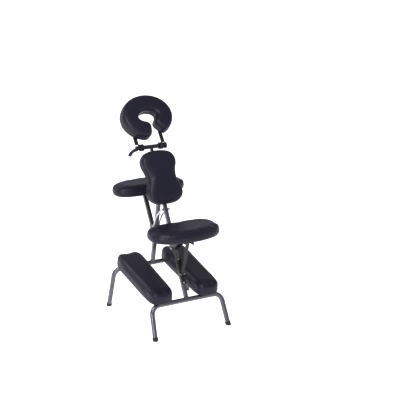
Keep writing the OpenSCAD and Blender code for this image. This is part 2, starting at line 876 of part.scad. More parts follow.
module seat_hinge_bolt() {
    head_x = seat_plate_x + plate_t + slide_gap;
    color([0.8, 0.8, 0.82]) at_yz(seat_hinge) {
        rod_x(bolt_r, 2 * head_x);
        for (side = [0, 1]) {
            mirror([side, 0, 0]) disc_x(bolt_r + 3, side_x, seat_plate_x - slide_gap);
        }
        disc_x(nut_r, head_x, head_x + nut_t);
        nut_x(nut_r, -head_x - nut_t, -head_x);
    }
}

// Folded plate under the seat: a flat top and two cheeks that reach down to the hinge.
module seat_bracket() {
    top_z = seat_under_z;
    back_y = seat_mid_y - 72;
    front_y = seat_hinge[0] + 33;
    color([0.2, 0.2, 0.21]) difference() {
        union() {
            translate([-42, back_y, top_z - plate_t]) cube([84, 150, plate_t]);
            for (side = [-1, 1]) {
                translate([side * (seat_plate_x + plate_t / 2) - plate_t / 2, 0, 0])
                    rotate([90, 0, 90]) linear_extrude(plate_t) {
                        polygon([[back_y, top_z], [back_y, top_z - 30], [seat_mid_y + 20, top_z - 34],
                            [seat_hinge[0] - 10, seat_hinge[1] - 8], [front_y, seat_hinge[1] - 6],
                            [front_y, top_z - 40], [seat_mid_y + 78, top_z]]);
                        translate(seat_hinge) circle(r = 14);
                    }
            }
        }
        at_yz(seat_hinge) rod_x(hole_r, 100);
        at_yz(prop_top) rod_x(hole_r, 100);
        seat_screw_places() screw_hole(plate_t);
    }
}

module seat_outline(share = 1) {
    scale([share, share]) polygon(kidney(seat_w, seat_d, seat_lobe));
}

module seat_board() {
    color([0.7, 0.56, 0.38]) translate([0, seat_mid_y, seat_under_z])
        linear_extrude(board_t) seat_outline(board_share);
}

module seat_pad() {
    color([0.1, 0.1, 0.12]) translate([0, seat_mid_y, seat_under_z + board_t])
        linear_extrude(seat_t) seat_outline();
}

module seat_screw_places() {
    for (x = [-33, 33]) {
        for (y = [-60, 60]) {
            translate([x, seat_mid_y + y, seat_under_z - plate_t]) children();
        }
    }
}

module seat_screws() {
    color([0.75, 0.75, 0.77]) seat_screw_places() wood_screw(plate_t);
}

// Rubber buffers under the seat board's back corners.
module seat_bumpers() {
    color([0.04, 0.04, 0.04]) for (x = [-1, 1]) {
        translate([x * seat_w * 0.24, seat_mid_y - seat_d * 0.2, seat_under_z - 14])
            cylinder(r1 = 10, r2 = 13, h = 14);
    }
}

// Strut from under the seat down to the rack, with a cross pin at each end.
module seat_prop() {
    prop_w = 18;
    color([0.36, 0.36, 0.38]) difference() {
        union() {
            at_yz(prop_top, prop_tilt) translate([0, 0, -prop_len])
                linear_extrude(prop_len + 9) round_square(prop_w, 13, 3);
            at_yz(prop_foot) rod_x(7, prop_w);
        }
        at_yz(prop_top) rod_x(hole_r, 60);
        at_yz(prop_foot) rod_x(hole_r, 60);
    }
}

// The pin that the prop swings on and the pin that drops into the rack's notch.
module prop_pins() {
    color([0.75, 0.75, 0.77]) {
        at_yz(prop_top) rod_x(bolt_r, 2 * (seat_plate_x + plate_t) + 6);
        at_yz(prop_foot) rod_x(bolt_r, rack_inside + 12);
    }
}

rack_len = 150;
rack_from = 88;
rack_inside = 19.4;
rack_depth = 16;
rack_web = 2;

// Notched channel on the column's rear face.
module seat_rack() {
    color([0.12, 0.12, 0.13]) difference() {
        at_column(rack_from) translate([0, -side_x - rack_depth / 2, rack_len / 2])
            cube([rack_inside + 5, rack_depth, rack_len], center = true);
        at_column(rack_from - 1) translate([0, -side_x - rack_depth / 2 - rack_web, rack_len / 2])
            cube([rack_inside, rack_depth, rack_len + 4], center = true);
        for (i = [-2 : 3]) {
            at_column(prop_notch_s + i * 22) translate([0, -side_x - 10, 0]) {
                rod_x(bolt_r + slide_gap, 60);
                translate([0, -10, 0]) cube([60, 20, bolt_d + 2 * slide_gap + 1.6], center = true);
            }
        }
    }
}

module rack_screws() {
    color([0.8, 0.8, 0.82]) for (s = [7, rack_len - 7]) {
        at_column(rack_from + s) translate([0, -side_x - rack_web, 0]) rotate([90, 0, 0])
            cylinder(r = 5, h = 3);
    }
}

// ---- Knee pads ----

// Frame on a knee pad: +Y runs up the slope and Z = 0 is the plane through both crossbars' axes.
module at_knee(side) {
    translate([side * knee_span / 2 - knee_shift, rear_bar_y, rear_bar_z]) rotate([knee_slope, 0, 0]) children();
}

knee_reach = norm([bar_gap, front_bar_z - rear_bar_z]);
knee_lift = leg_d / 2 + knee_clamp_t;

module knee_slab(side, from_z, t, share = 1) {
    at_knee(side) translate([0, knee_len / 2 - knee_past, from_z]) linear_extrude(t)
        scale([share, 1 - (1 - share) / 2]) polygon(tapered(knee_w_low, knee_w_high, knee_len));
}

module knee_board_left() {
    color([0.7, 0.56, 0.38]) knee_slab(-1, knee_lift, board_t, board_share);
}

module knee_board_right() {
    color([0.7, 0.56, 0.38]) knee_slab(1, knee_lift, board_t, board_share);
}

module knee_pad_left() {
    color([0.1, 0.1, 0.12]) knee_slab(-1, knee_lift + board_t, knee_t);
}

module knee_pad_right() {
    color([0.1, 0.1, 0.12]) knee_slab(1, knee_lift + board_t, knee_t);
}

// Clamp round the front crossbar and a flat rest that lies on the rear crossbar.
module knee_clamp(side) {
    clamp_r = leg_d / 2 + 0.08;
    color([0.05, 0.05, 0.05]) at_knee(side) difference() {
        union() {
            translate([0, knee_reach, 0]) rod_x(leg_d / 2 + 4.5, 60);
            translate([0, knee_reach, knee_lift / 2]) cube([60, leg_d + 9, knee_lift], center = true);
            translate([-45, knee_reach - 40, knee_lift - 3]) cube([90, 80, 3]);
            translate([-40, -15, leg_d / 2 + 0.3]) cube([80, 30, knee_clamp_t - 0.3]);
        }
        translate([0, knee_reach, 0]) rod_x(clamp_r, 80);
        knee_screw_places() screw_hole(3);
    }
}

module knee_clamp_left() {
    knee_clamp(-1);
}

module knee_clamp_right() {
    knee_clamp(1);
}

module knee_screw_places() {
    for (x = [-38, 38]) {
        for (y = [-32, 32]) {
            translate([x, knee_reach + y, knee_lift - 3]) children();
        }
    }
}

module knee_screws(side) {
    color([0.75, 0.75, 0.77]) at_knee(side) knee_screw_places() wood_screw(3);
}

module knee_screws_left() {
    knee_screws(-1);
}

module knee_screws_right() {
    knee_screws(1);
}

rear_leg_frame();
main_column();
rear_foot_left();
rear_foot_right();
column_collar();
fold_hinge_ears();
seat_rack();
rack_screws();
front_leg_frame();
front_strut();
front_foot_left();
front_foot_right();
fold_hinge_bolt();
arm_pivot_bolt();
arm_fork();
arm_strut();
armrest_hinge_bolt();
armrest_bracket();
armrest_board();
armrest_pad();
armrest_screws();
stay_link_left();
stay_link_right();
link_top_bolt();
link_foot_bolts();
chest_sleeve();
chest_plate();
chest_board();
chest_pad();
chest_screws();
chest_knob();
cradle_stem();
cradle_bar();
bar_rosettes();
stem_knob();
cradle_rod();
arm_rosettes();
cradle_arm_left();
cradle_arm_right();
cradle_board();
face_cushion();
cradle_screws();
clamp_lever();
cradle_end_knob();
seat_hinge_bolt();
seat_bracket();
seat_board();
seat_pad();
seat_screws();
seat_bumpers();
seat_prop();
prop_pins();
knee_board_left();
knee_board_right();
knee_pad_left();
knee_pad_right();
knee_clamp_left();
knee_clamp_right();
knee_screws_left();
knee_screws_right();
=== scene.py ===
# Kneeling massage chair: upholstery, finishes, trim, floor, lights and camera over the chair's frame.
import bpy
import bmesh
import json
import math
from mathutils import Matrix, Vector
from mathutils.bvhtree import BVHTree
from mathutils.kdtree import KDTree


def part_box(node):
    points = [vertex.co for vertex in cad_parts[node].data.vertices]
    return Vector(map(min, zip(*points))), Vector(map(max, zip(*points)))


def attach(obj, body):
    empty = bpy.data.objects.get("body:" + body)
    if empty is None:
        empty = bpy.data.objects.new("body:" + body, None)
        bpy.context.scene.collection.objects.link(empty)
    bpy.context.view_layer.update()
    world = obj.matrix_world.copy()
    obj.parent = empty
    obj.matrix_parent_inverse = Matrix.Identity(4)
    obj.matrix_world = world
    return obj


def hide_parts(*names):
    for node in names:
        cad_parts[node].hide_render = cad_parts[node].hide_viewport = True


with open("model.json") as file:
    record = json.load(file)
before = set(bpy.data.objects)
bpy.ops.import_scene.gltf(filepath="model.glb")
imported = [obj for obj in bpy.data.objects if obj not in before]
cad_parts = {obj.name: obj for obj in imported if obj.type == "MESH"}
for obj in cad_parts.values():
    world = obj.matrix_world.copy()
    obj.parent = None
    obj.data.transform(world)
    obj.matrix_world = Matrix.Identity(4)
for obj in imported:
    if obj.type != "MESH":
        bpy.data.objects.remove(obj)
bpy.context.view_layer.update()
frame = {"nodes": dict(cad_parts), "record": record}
scene = bpy.context.scene
nodes = frame["nodes"]
bodyOf = {n: b for b, members in frame["record"]["behaviour"]["bodies"].items() for n in members}
joints = {j["name"]: j for j in frame["record"]["behaviour"]["joints"]}
print("frame loaded,", len(nodes), "parts")


# ---- small helpers ----

def newObject(name, mesh):
    obj = bpy.data.objects.new(name, mesh)
    scene.collection.objects.link(obj)
    return obj


def meshFrom(name, bm, smooth=True):
    mesh = bpy.data.meshes.new(name)
    bm.to_mesh(mesh)
    bm.free()
    for face in mesh.polygons:
        face.use_smooth = smooth
    return mesh


def baked(obj, name):  # the object with its modifiers applied, as a new plain mesh
    graph = bpy.context.evaluated_depsgraph_get()
    mesh = bpy.data.meshes.new_from_object(obj.evaluated_get(graph), depsgraph=graph)
    mesh.name = name
    return mesh


def settle(obj):  # swaps an object's live modifiers for the mesh they make
    mesh = baked(obj, obj.name)
    obj.modifiers.clear()
    obj.data = mesh
    return obj


def smoothByAngle(mesh, degrees):
    mesh.shade_smooth()
    bm = bmesh.new()
    bm.from_mesh(mesh)
    limit = math.radians(degrees)
    for edge in bm.edges:
        edge.smooth = len(edge.link_faces) == 2 and edge.calc_face_angle(0) < limit
    bm.to_mesh(mesh)
    bm.free()


# ---- shader writing ----

class Signal:  # a socket that sums can be written with
    def __init__(self, tree, socket):
        self.tree, self.socket = tree, socket

    def calc(self, operation, first, second):
        node = self.tree.nodes.new("ShaderNodeMath")
        node.operation = operation
        for slotIn, value in zip(node.inputs, (first, second)):
            if isinstance(value, Signal):
                self.tree.links.new(value.socket, slotIn)
            else:
                slotIn.default_value = value
        return Signal(self.tree, node.outputs[0])

    def __add__(self, other):
        return self.calc("ADD", self, other)

    def __radd__(self, other):
        return self.calc("ADD", other, self)

    def __sub__(self, other):
        return self.calc("SUBTRACT", self, other)

    def __rsub__(self, other):
        return self.calc("SUBTRACT", other, self)

    def __mul__(self, other):
        return self.calc("MULTIPLY", self, other)

    def __rmul__(self, other):
        return self.calc("MULTIPLY", other, self)

    def atMost(self, other):
        return self.calc("MINIMUM", self, other)


class Finish:  # a material and the nodes that make it
    def __init__(self, name):
        self.material = bpy.data.materials.new(name)
        self.material.use_nodes = True
        self.tree = self.material.node_tree
        self.shader = self.tree.nodes["Principled BSDF"]

    def node(self, kind, settings, inputs, output=0):
        node = self.tree.nodes.new(kind)
        for key, value in settings.items():
            setattr(node, key, value)
        for key, value in inputs.items():
            if isinstance(value, Signal):
                self.tree.links.new(value.socket, node.inputs[key])
            else:
                node.inputs[key].default_value = value
        return Signal(self.tree, node.outputs[output])

    def place(self, scale=(1, 1, 1), turn=(0, 0, 0)):
        here = self.node("ShaderNodeTexCoord", {}, {}, "Object")
        return self.node("ShaderNodeMapping", {}, {"Vector": here, "Scale": scale, "Rotation": turn})

    def cloudy(self, at, scale, detail=3.0, roughness=0.5):
        return self.node("ShaderNodeTexNoise", {}, {"Vector": at, "Scale": scale, "Detail": detail,
                                                   "Roughness": roughness}, 0)

    def cells(self, at, scale, feature="F1"):
        return self.node("ShaderNodeTexVoronoi", {"feature": feature},
                         {"Vector": at, "Scale": scale}, "Distance")

    def between(self, share, first, second):
        inputs = {0: share, 6: first, 7: second}
        return self.node("ShaderNodeMix", {"data_type": "RGBA"}, inputs, 2)

    def relief(self, height, distance, strength=1.0):
        return self.node("ShaderNodeBump", {}, {"Height": height, "Distance": distance, "Strength": strength})

    def give(self, **sockets):
        titles = {"color": "Base Color", "roughness": "Roughness", "metallic": "Metallic", "normal": "Normal",
                  "coat": "Coat Weight", "coatRoughness": "Coat Roughness", "sheen": "Sheen Weight",
                  "specular": "Specular IOR Level"}
        for key, value in sockets.items():
            target = self.shader.inputs[titles[key]]
            if isinstance(value, Signal):
                self.tree.links.new(value.socket, target)
            else:
                target.default_value = value
        return self.material


def rgb(r, g, b):
    return (r, g, b, 1.0)


def vinylFinish(name, tint):
    look = {"dark": (0.0038, 0.0033, 0.0085), "light": (0.0080, 0.0070, 0.0155), "roughness": 0.42}
    f = Finish(name)
    at = f.place()
    warp = f.cloudy(at, 60.0, 2.0)
    grain = f.cells(at, 620.0, "SMOOTH_F1")
    pores = f.cloudy(at, 1500.0, 2.0)
    creases = f.cells(f.place((1.0, 1.6, 1.0), (0.3, 0.2, 0.7)), 210.0, "DISTANCE_TO_EDGE")
    hand = f.cloudy(at, 9.0, 4.0, 0.6)  # where hands and knees have polished it
    dark = rgb(*[c * tint for c in look["dark"]])
    light = rgb(*[c * tint for c in look["light"]])
    colour = f.between((hand * 0.7 + grain * 0.5).atMost(1.0), dark, light)
    rough = look["roughness"] + hand * 0.10 - 0.05 + pores * 0.08 - 0.04
    surface = grain * 0.55 + pores * 0.12 + creases.atMost(0.12) * 2.2 + warp * 0.4
    return f.give(color=colour, roughness=rough, normal=f.relief(surface, 0.00035, 0.55),
                  coat=0.02, coatRoughness=0.38, sheen=0.0, specular=0.15)


def powderFinish(name, base, metallic, roughness):
    f = Finish(name)
    at = f.place()
    peel = f.cloudy(at, 420.0, 2.0)
    flake = f.cells(at, 2600.0)
    drift = f.cloudy(at, 14.0, 3.0)
    dark = rgb(*[c * 0.82 for c in base])
    light = rgb(*[c * 1.18 for c in base])
    colour = f.between((drift * 0.8 + flake * 0.4).atMost(1.0), dark, light)
    return f.give(color=colour, metallic=metallic, roughness=roughness + drift * 0.10 - 0.05,
                  normal=f.relief(peel + flake * 0.3, 0.00018, 0.5),
                  coat=0.06, coatRoughness=0.25, specular=0.3)


def zincFinish(name):
    f = Finish(name)
    at = f.place()
    spangle = f.cells(at, 340.0)
    brush = f.cloudy(f.place((900.0, 60.0, 900.0)), 1.0, 3.0)
    stain = f.cloudy(at, 70.0, 4.0)
    colour = f.between(stain, rgb(0.34, 0.34, 0.36), rgb(0.56, 0.56, 0.56))
    return f.give(color=colour, metallic=1.0, roughness=0.26 + spangle * 0.12 + stain * 0.10,
                  normal=f.relief(brush * 0.5 + spangle * 0.4, 0.00010, 0.5))


def plasticFinish(name, grey, roughness):
    f = Finish(name)
    at = f.place()
    spark = f.cells(at, 1500.0)
    drift = f.cloudy(at, 30.0, 3.0)
    dark = rgb(grey * 0.8, grey * 0.8, grey * 0.85)
    light = rgb(grey * 1.3, grey * 1.3, grey * 1.35)
    return f.give(color=f.between(drift, dark, light), roughness=roughness + drift * 0.12 - 0.06,
                  normal=f.relief(spark, 0.00015, 0.6), specular=0.25)


def rubberFinish(name):
    f = Finish(name)
    at = f.place()
    dust = f.cloudy(at, 55.0, 5.0, 0.7)
    scuff = f.cloudy(f.place((1.0, 1.0, 7.0)), 160.0, 3.0)
    colour = f.between((dust * scuff * 1.6).atMost(1.0), rgb(0.006, 0.006, 0.006), rgb(0.024, 0.023, 0.022))
    return f.give(color=colour, specular=0.25, roughness=0.72 + dust * 0.15,
                  normal=f.relief(scuff + dust * 0.4, 0.0003, 0.5))


def plywoodFinish(name, normal, pale):
    # the layers lie across the board's own normal, so its edge shows them as stripes
    f = Finish(name)
    lean = math.atan2(normal[1], normal[2])
    across = f.place((1.0, 1.0, 1.0), (lean, 0.0, 0.0))
    layer = f.node("ShaderNodeTexWave", {"wave_type": "BANDS", "bands_direction": "Z"},
                   {"Vector": across, "Scale": 170.0, "Distortion": 0.6, "Detail": 2.0})
    grain = f.cloudy(f.place((260.0, 14.0, 260.0), (lean, 0.0, 0.0)), 1.0, 5.0, 0.6)
    blotch = f.cloudy(across, 8.0, 3.0)
    wood = f.between(grain, rgb(0.43 * pale, 0.29 * pale, 0.16 * pale),
                     rgb(0.66 * pale, 0.50 * pale, 0.32 * pale))
    banded = f.between(layer * 0.35, wood, rgb(0.24 * pale, 0.15 * pale, 0.08 * pale))
    colour = f.between(blotch * 0.3, banded, rgb(0.58 * pale, 0.43 * pale, 0.26 * pale))
    return f.give(color=colour, roughness=0.62 + grain * 0.12,
                  normal=f.relief(grain + layer * 0.4, 0.0004, 0.4))


def threadFinish(name):
    f = Finish(name)
    twist = f.node("ShaderNodeTexWave", {"wave_type": "BANDS", "bands_direction": "DIAGONAL"},
                   {"Vector": f.place(), "Scale": 900.0, "Distortion": 1.0})
    return f.give(color=f.between(twist, rgb(0.018, 0.018, 0.021), rgb(0.060, 0.058, 0.066)), roughness=0.6,
                  normal=f.relief(twist, 0.0001, 0.6))


finishes = {
    "upholstery": vinylFinish("satinVinyl", 1.0),
    "painted_frame": powderFinish("gunmetalPowder", (0.080, 0.080, 0.092), 0.85, 0.30),
    "black_steel": powderFinish("blackPowder", (0.016, 0.016, 0.020), 0.35, 0.42),
    "rack_steel": powderFinish("rackPaint", (0.010, 0.010, 0.012), 0.2, 0.50),
    "zinc": zincFinish("zincPlate"),
    "plastic": plasticFinish("grainedPlastic", 0.0065, 0.46),
    "rubber": rubberFinish("footRubber"),
}
thread = threadFinish("bondedThread")
slotOf = {s["node"]: s["material_slot"] for s in frame["record"]["subparts"]}
print("finishes made")


# ---- outlines read from the frame's flat slabs ----

def readSlab(node, toward):
    # a slab's outline seen along its normal, its axes and its thickness
    bm = bmesh.new()
    bm.from_mesh(nodes[node].data)
    bmesh.ops.remove_doubles(bm, verts=bm.verts, dist=2e-6)
    area = {}
    for face in bm.faces:
        if face.normal.dot(toward) > 0.3:
            key = tuple(round(c, 2) for c in face.normal)
            area[key] = area.get(key, Vector()) + face.normal * face.calc_area()
    normal = max(area.values(), key=lambda v: v.length).normalized()
    cap = {f for f in bm.faces if f.normal.dot(normal) > 0.9995}
    rim = {}
    for face in cap:
        for loop in face.loops:
            if sum(f in cap for f in loop.edge.link_faces) == 1:
                rim[loop.vert.index] = loop.link_loop_next.vert.index
    bm.verts.ensure_lookup_table()
    start = next(iter(rim))
    order = [start]
    while rim[order[-1]] != start:
        order.append(rim[order[-1]])
    points = [bm.verts[i].co.copy() for i in order]
    depths = [v.co.dot(normal) for v in bm.verts]
    bm.free()
    thick = max(depths) - min(depths)
    xAxis = Vector((1, 0, 0))
    yAxis = normal.cross(xAxis).normalized()
    low = [min(p.dot(a) for p in points) for a in (xAxis, yAxis)]
    high = [max(p.dot(a) for p in points) for a in (xAxis, yAxis)]
    middle = xAxis * (low[0] + high[0]) / 2 + yAxis * (low[1] + high[1]) / 2 + normal * min(depths)
    flat = [((p - middle).dot(xAxis), (p - middle).dot(yAxis)) for p in points]
    turn = Matrix((xAxis, yAxis, normal)).transposed().to_4x4()
    return {"loop": flat, "place": Matrix.Translation(middle) @ turn, "thick": thick, "normal": normal}


def evenLoop(loop, count):
    # the same closed outline with its points spaced evenly
    lengths = [0.0]
    closed = loop + loop[:1]
    for a, b in zip(closed, closed[1:]):
        lengths.append(lengths[-1] + math.dist(a, b))
    out = []
    seg = 0
    for i in range(count):
        want = lengths[-1] * i / count
        while lengths[seg + 1] < want:
            seg += 1
        t = (want - lengths[seg]) / (lengths[seg + 1] - lengths[seg])
        (ax, ay), (bx, by) = closed[seg], closed[seg + 1]
        out.append((ax * (1 - t) + bx * t, ay * (1 - t) + by * t))
    return out


def insetLoop(loop, amount):
    # every point moved inwards by amount; the loop runs counter-clockwise
    n = len(loop)
    out = []
    for i, (x, y) in enumerate(loop):
        ax, ay = loop[(i - 2) % n]
        bx, by = loop[(i + 2) % n]
        length = math.hypot(bx - ax, by - ay)
        out.append((x - (by - ay) / length * amount, y + (bx - ax) / length * amount))
    return out


def loft(name, rings, place):
    # closed skin through rings of equal count, given as (loop, height), its two ends filled
    bm = bmesh.new()
    rows = [[bm.verts.new(place @ Vector((x, y, z))) for x, y in loop] for loop, z in rings]
    count = len(rows[0])
    for low, high in zip(rows, rows[1:]):
        for i in range(count):
            bm.faces.new((low[i], low[(i + 1) % count], high[(i + 1) % count], high[i]))
    bm.faces.new(rows[0][::-1])
    bm.faces.new(rows[-1])
    bmesh.ops.triangulate(bm, faces=[f for f in bm.faces if len(f.verts) > 4])
    bmesh.ops.recalc_face_normals(bm, faces=bm.faces)
    return meshFrom(name, bm)


# ---- repeated small things along a path ----

def alongPathTree():
    # a bead at every step along a curve: stitches, staples and weld ripples
    tree = bpy.data.node_groups.new("alongPath", "GeometryNodeTree")
    face = tree.interface
    face.new_socket("Path", in_out="INPUT", socket_type="NodeSocketGeometry")
    for title, value in (("Step", 0.004), ("Bead length", 0.0028), ("Bead width", 0.0008),
                         ("Bead height", 0.0006), ("Unevenness", 0.1)):
        socket = face.new_socket(title, in_out="INPUT", socket_type="NodeSocketFloat")
        socket.default_value = value
    face.new_socket("Finish", in_out="INPUT", socket_type="NodeSocketMaterial")
    face.new_socket("Beads", in_out="OUTPUT", socket_type="NodeSocketGeometry")
    add = tree.nodes.new
    join = tree.links.new
    given, result = add("NodeGroupInput"), add("NodeGroupOutput")
    points, bead = add("GeometryNodeCurveToPoints"), add("GeometryNodeMeshUVSphere")
    put = add("GeometryNodeInstanceOnPoints")
    size, jitter = add("ShaderNodeCombineXYZ"), add("FunctionNodeRandomValue")
    scaled = add("ShaderNodeVectorMath")
    low, high = add("ShaderNodeMath"), add("ShaderNodeMath")
    real, coat = add("GeometryNodeRealizeInstances"), add("GeometryNodeSetMaterial")
    shade = add("GeometryNodeSetShadeSmooth")
    points.mode = "LENGTH"
    bead.inputs["Segments"].default_value = 8
    bead.inputs["Rings"].default_value = 5
    bead.inputs["Radius"].default_value = 0.5
    jitter.data_type = "FLOAT"
    scaled.operation = "SCALE"
    low.operation, high.operation = "SUBTRACT", "ADD"
    low.inputs[0].default_value = high.inputs[0].default_value = 1.0
    join(given.outputs["Path"], points.inputs["Curve"])
    join(given.outputs["Step"], points.inputs["Length"])
    join(given.outputs["Bead height"], size.inputs["X"])
    join(given.outputs["Bead width"], size.inputs["Y"])
    join(given.outputs["Bead length"], size.inputs["Z"])
    join(given.outputs["Unevenness"], low.inputs[1])
    join(given.outputs["Unevenness"], high.inputs[1])
    floats = [s for s in jitter.inputs if s.type == "VALUE" and s.name in ("Min", "Max")]
    join(low.outputs[0], floats[0])
    join(high.outputs[0], floats[1])
    jitter.inputs["Seed"].default_value = 7
    join(size.outputs[0], scaled.inputs[0])
    join([s for s in jitter.outputs if s.type == "VALUE"][0], scaled.inputs["Scale"])
    join(points.outputs["Points"], put.inputs["Points"])
    join(points.outputs["Rotation"], put.inputs["Rotation"])
    join(bead.outputs["Mesh"], put.inputs["Instance"])
    join(scaled.outputs["Vector"], put.inputs["Scale"])
    join(put.outputs["Instances"], real.inputs[0])
    join(real.outputs[0], shade.inputs["Geometry"])
    join(shade.outputs[0], coat.inputs["Geometry"])
    join(given.outputs["Finish"], coat.inputs["Material"])
    join(coat.outputs[0], result.inputs["Beads"])
    return tree


pathTree = alongPathTree()


def curveObject(name, paths, closed, radius=0.0):
    data = bpy.data.curves.new(name, "CURVE")
    data.dimensions = "3D"
    data.resolution_u = 3
    data.bevel_depth = radius
    data.bevel_resolution = 3
    data.use_fill_caps = not closed
    for path in paths:
        spline = data.splines.new("NURBS")
        spline.points.add(len(path) - 1)
        for point, place in zip(spline.points, path):
            point.co = (*place, 1.0)
        spline.use_cyclic_u = closed
        spline.use_endpoint_u = not closed
        spline.order_u = 4
    obj = bpy.data.objects.new(name, data)
    scene.collection.objects.link(obj)
    return obj


def beads(name, body, paths, closed, material, sizes):
    path = curveObject(name + "Path", paths, closed)
    mod = path.modifiers.new("beads", "NODES")
    mod.node_group = pathTree
    values = {"Step": sizes[0], "Bead length": sizes[1], "Bead width": sizes[2], "Bead height": sizes[3],
              "Unevenness": sizes[4], "Finish": material}
    for item in pathTree.interface.items_tree:
        if item.in_out == "INPUT" and item.name in values:
            mod[item.identifier] = values[item.name]
    obj = newObject(name, baked(path, name))
    bpy.data.objects.remove(path)
    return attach(obj, body) or obj


def cordAlong(name, body, paths, closed, radius, material):
    path = curveObject(name + "Path", paths, closed, radius)
    obj = newObject(name, baked(path, name))
    bpy.data.objects.remove(path)
    obj.data.materials.clear()
    obj.data.materials.append(material)
    for face in obj.data.polygons:
        face.use_smooth = True
    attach(obj, body)
    return obj


# ---- cushions ----

def swell(obj, pressure, cap, held):
    # Blows the cover up a little, as foam fills it. Points in held stay put, and none moves further than cap.
    start = [v.co.copy() for v in obj.data.vertices]
    group = obj.vertex_groups.new(name="held")
    for index, weight in enumerate(held):
        if weight > 0:
            group.add([index], weight, "REPLACE")
    mod = obj.modifiers.new("cover", "CLOTH")
    cover = mod.settings
    cover.quality = 6
    cover.mass = 0.25
    cover.tension_stiffness = cover.compression_stiffness = 14
    cover.shear_stiffness = 6
    cover.bending_stiffness = 5.0
    cover.use_pressure = True
    cover.uniform_pressure_force = pressure
    cover.vertex_group_mass = "held"
    cover.effector_weights.gravity = 0
    mod.collision_settings.use_collision = False
    mod.point_cache.frame_start, mod.point_cache.frame_end = 1, 20
    for step in range(1, 21):
        scene.frame_set(step)
    graph = bpy.context.evaluated_depsgraph_get()
    moved = [v.co.copy() for v in obj.evaluated_get(graph).data.vertices]
    obj.modifiers.remove(mod)
    obj.vertex_groups.clear()
    for vert, a, b in zip(obj.data.vertices, start, moved):
        way = b - a
        vert.co = a + way * (min(way.length, cap) / max(way.length, 1e-9))
    scene.frame_set(1)


def relax(bm, rounds, amount, keep):
    verts = [v for v in bm.verts if v.index not in keep]
    for _ in range(rounds):
        bmesh.ops.smooth_vert(bm, verts=verts, factor=amount,
                              use_axis_x=True, use_axis_y=True, use_axis_z=True)


def softened(loop, rounds):
    # the outline with its corners eased
    for _ in range(rounds):
        loop = [((a[0] + 2 * b[0] + c[0]) / 4, (a[1] + 2 * b[1] + c[1]) / 4)
                for a, b, c in zip(loop[-1:] + loop[:-1], loop, loop[1:] + loop[:1])]
    return loop


def rollEdges(mesh, place, outline, low, top, radius, foot):
    # lowers the slab's top edge by a quarter circle of that radius and lifts its bottom edge by foot
    back = place.inverted()
    inward = insetLoop(outline, 1.0)
    tree = KDTree(len(outline))
    for i, (x, y) in enumerate(outline):
        tree.insert((x, y, 0), i)
    tree.balance()
    for vert in mesh.vertices:
        p = back @ vert.co
        _, i, _ = tree.find((p.x, p.y, 0))
        way = Vector(inward[i]) - Vector(outline[i])
        depth = max((p.xy - Vector(outline[i])).dot(way), 0.0)
        if depth < radius:
            p.z = min(p.z, top - radius + math.sqrt(radius ** 2 - (radius - depth) ** 2))
        if depth < foot:
            p.z = max(p.z, low + foot - math.sqrt(foot ** 2 - (foot - depth) ** 2))
        vert.co = place @ p


def isInside(x, y, loop):
    crossed = False
    for (ax, ay), (bx, by) in zip(loop, loop[1:] + loop[:1]):
        if (ay > y) != (by > y) and x < ax + (y - ay) / (by - ay) * (bx - ax):
            crossed = not crossed
    return crossed


def remesh(obj, size):
    mod = obj.modifiers.new("skin", "REMESH")
    mod.mode, mod.voxel_size = "VOXEL", size
    settle(obj)


cushions = {
    # top and side are how far the plain slab stops short of the frame's pad before it swells, round and foot
    # the radii of its upper and lower edges, and low the height of the border seam above the board
    "seat_pad": {"board": "seat_board", "toward": (0, 0, 1), "top": -0.003, "round": 0.024, "side": -0.004,
                 "foot": 0.014, "low": 0.014, "pressure": 4.2, "cap": 0.006, "fill": 0.85},
    "armrest_pad": {"board": "armrest_board", "toward": (0, 0, 1), "top": -0.002, "round": 0.022,
                    "side": -0.004, "foot": 0.012, "low": 0.012, "pressure": 4.0, "cap": 0.006, "fill": 0.85},
    "chest_pad": {"board": "chest_board", "toward": (0, -1, 0.2), "top": -0.003, "round": 0.020,
                  "side": -0.005, "foot": 0.009, "low": 0.011, "pressure": 4.0, "cap": 0.006, "fill": 0.85},
    "knee_pad_left": {"board": "knee_board_left", "toward": (0, 0, 1), "top": -0.004, "round": 0.020,
                      "side": -0.004, "foot": 0.007, "low": 0.010, "pressure": 4.0, "cap": 0.006, "fill": 0.85},
    "knee_pad_right": {"board": "knee_board_right", "toward": (0, 0, 1), "top": -0.004, "round": 0.020,
                       "side": -0.004, "foot": 0.007, "low": 0.010, "pressure": 4.0, "cap": 0.006, "fill": 0.85},
    "face_cushion": {"board": "cradle_board", "toward": (0, -1, 0.2), "top": -0.004, "round": 0.024,
                     "side": -0.004, "foot": 0.006, "low": 0.012, "pressure": 4.0, "cap": 0.005, "fill": 0.95},
}


